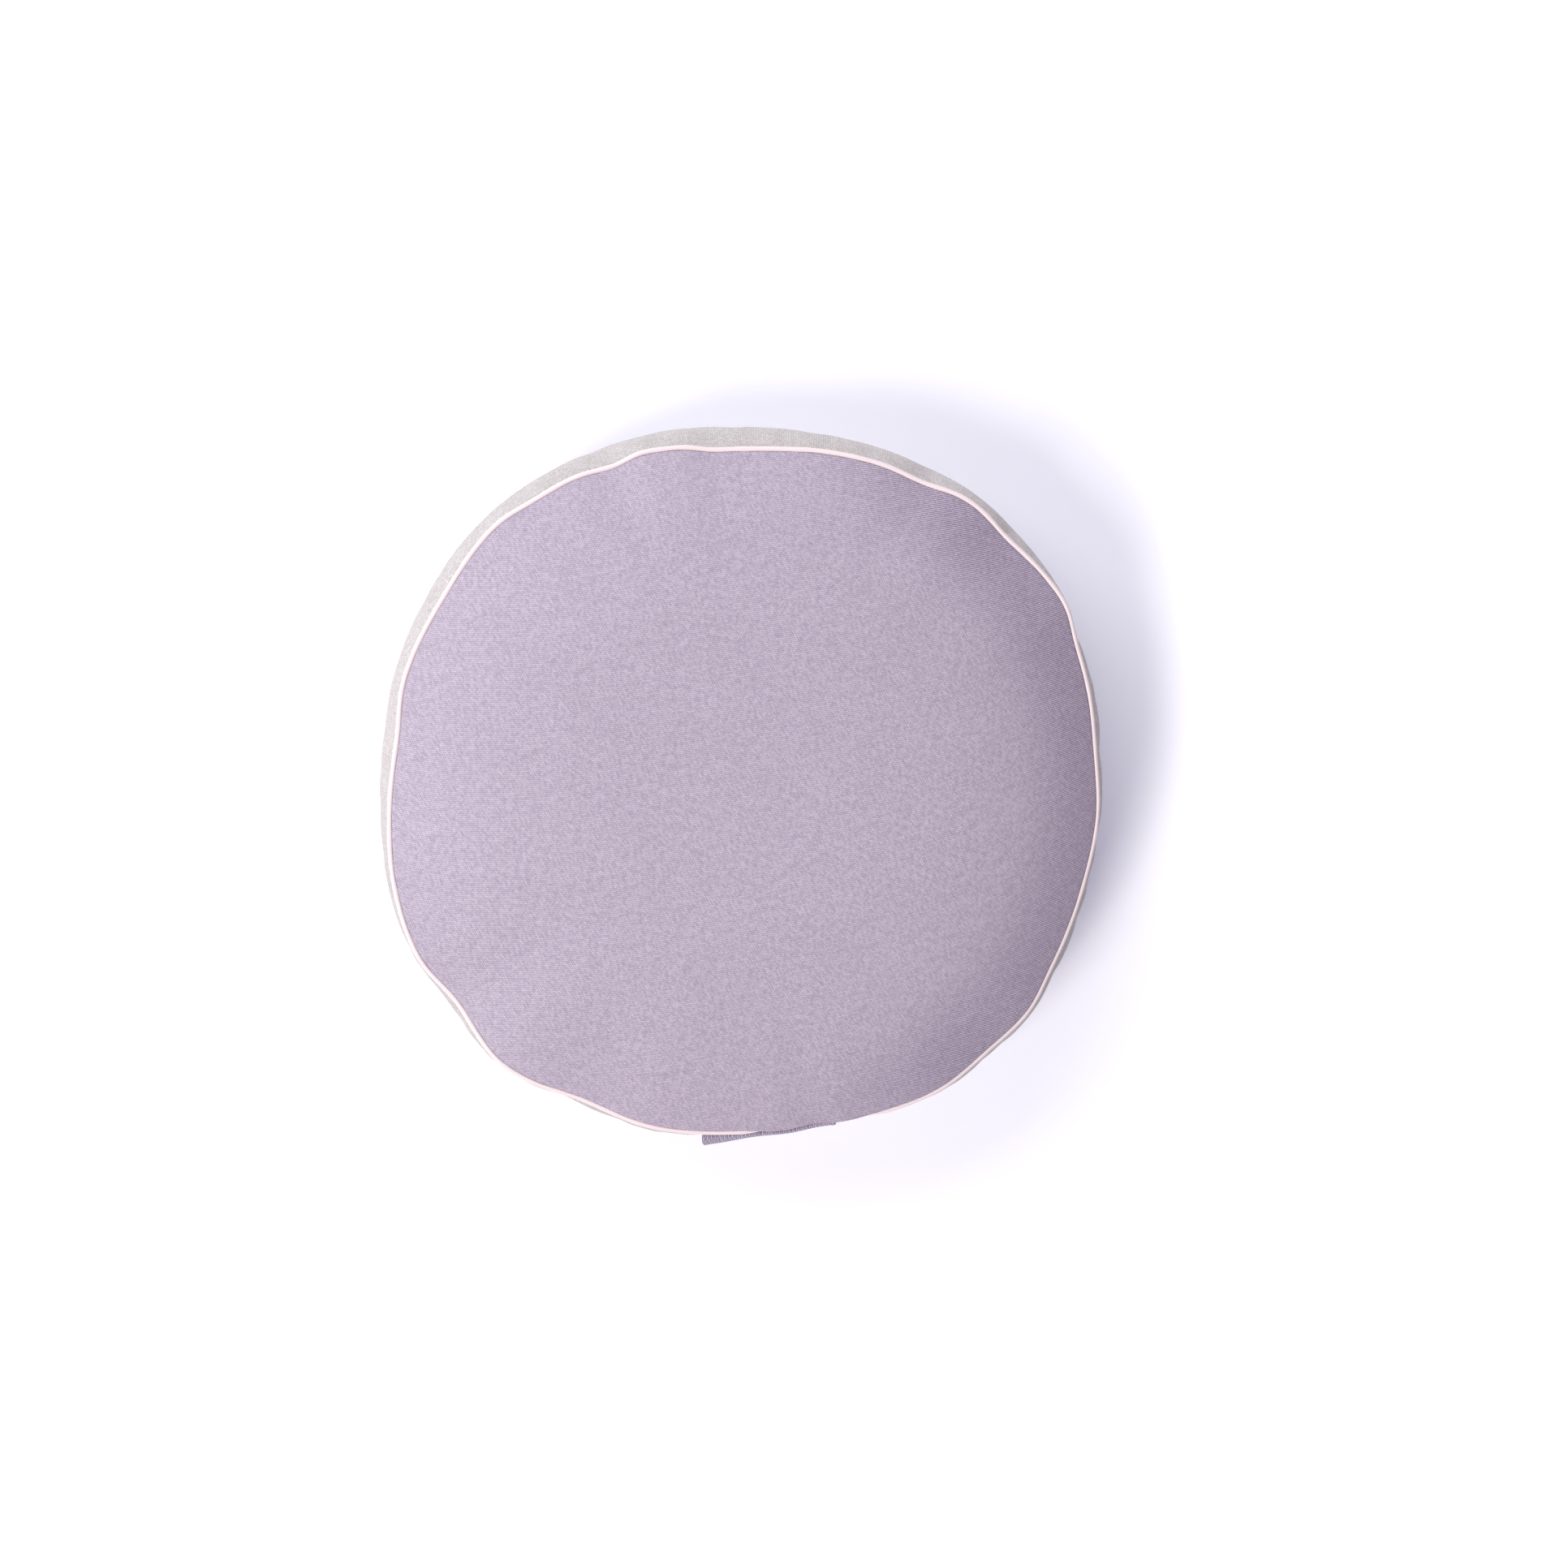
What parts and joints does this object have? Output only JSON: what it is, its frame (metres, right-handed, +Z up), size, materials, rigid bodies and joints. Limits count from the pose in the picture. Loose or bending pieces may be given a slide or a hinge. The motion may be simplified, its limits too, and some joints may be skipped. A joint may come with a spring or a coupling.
{
  "type": "round boxed cushion",
  "caption": "Round boxed cushion: mauve ribbed top with pink piping, linen side band and base, and a short grab strap sewn on the band.",
  "frame": {"origin": "middle of the cushion's box on the surface that it rests on", "axes": "+Z up from the surface, -Y towards the grab strap, +X to the right of someone facing the strap"},
  "size_m": [0.4434, 0.4448, 0.12],
  "materials": {
    "mauve_cloth": "fine ribbed weave, matt with a faint sheen",
    "linen": "coarse matt linen weave",
    "pink_piping": "smooth matt cotton over a cord"
  },
  "bodies": {
    "root": {"cushion_body": "linen", "top_panel": "mauve_cloth", "base_panel": "linen", "top_piping": "pink_piping", "grab_strap": "mauve_cloth"}
  },
  "joints": []
}
